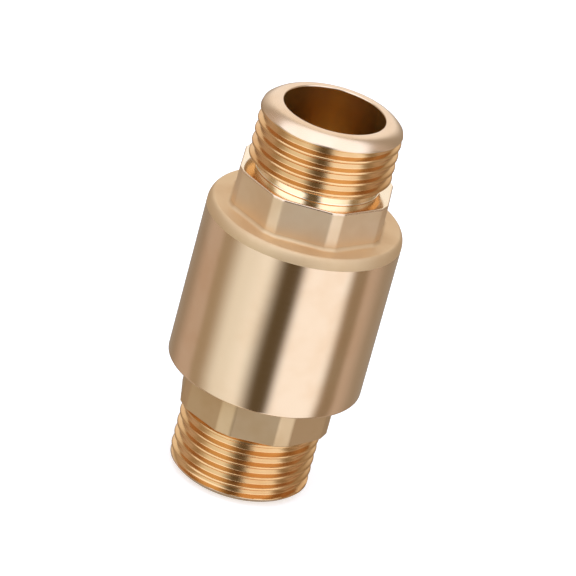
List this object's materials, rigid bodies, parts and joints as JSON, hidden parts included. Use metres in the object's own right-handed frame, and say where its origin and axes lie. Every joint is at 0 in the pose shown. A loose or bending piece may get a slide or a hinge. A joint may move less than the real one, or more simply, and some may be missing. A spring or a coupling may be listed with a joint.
{
  "type": "check valve",
  "caption": "In-line spring check valve with a male pipe thread at each end, two octagonal spanner collars, a plain round barrel and a spring-loaded poppet on a guided stem.",
  "frame": {"origin": "centre of the inlet's end face, which is the lowest face", "axes": "+Z along the valve's axis in the direction of flow, from the inlet to the outlet; -Y towards a flat of the outlet octagon"},
  "size_m": [0.029, 0.029, 0.0604],
  "materials": {
    "turned_brass": "fine-turned and polished brass",
    "satin_brass": "satin forged brass",
    "stainless_steel": "turned stainless steel",
    "spring_steel": "drawn stainless spring wire and strip",
    "nitrile_rubber": "moulded matt black rubber",
    "ptfe": "waxy white machined plastic"
  },
  "bodies": {
    "casing": {"valve_body": "turned_brass", "inlet_cap": "satin_brass", "joint_o_ring": "nitrile_rubber", "seat_ring": "stainless_steel", "inlet_guide": "satin_brass", "inlet_guide_bush": "ptfe", "outlet_guide": "satin_brass", "outlet_guide_bush": "ptfe", "guide_retaining_ring": "spring_steel", "return_spring": "spring_steel", "spring_seat_washer": "stainless_steel"},
    "poppet": {"stem": "stainless_steel", "poppet_disc": "turned_brass", "seat_seal": "nitrile_rubber", "seal_washer": "stainless_steel", "lock_washer": "spring_steel", "stem_nut": "stainless_steel"}
  },
  "joints": [
    {"name": "poppet_lift", "type": "slide", "parent": "casing", "child": "poppet", "axis": [0, 0, 1], "range_m": [0, 0.005], "stiffness_N_per_m": 400, "springref_m": -0.002, "deforming": ["return_spring"]}
  ]
}
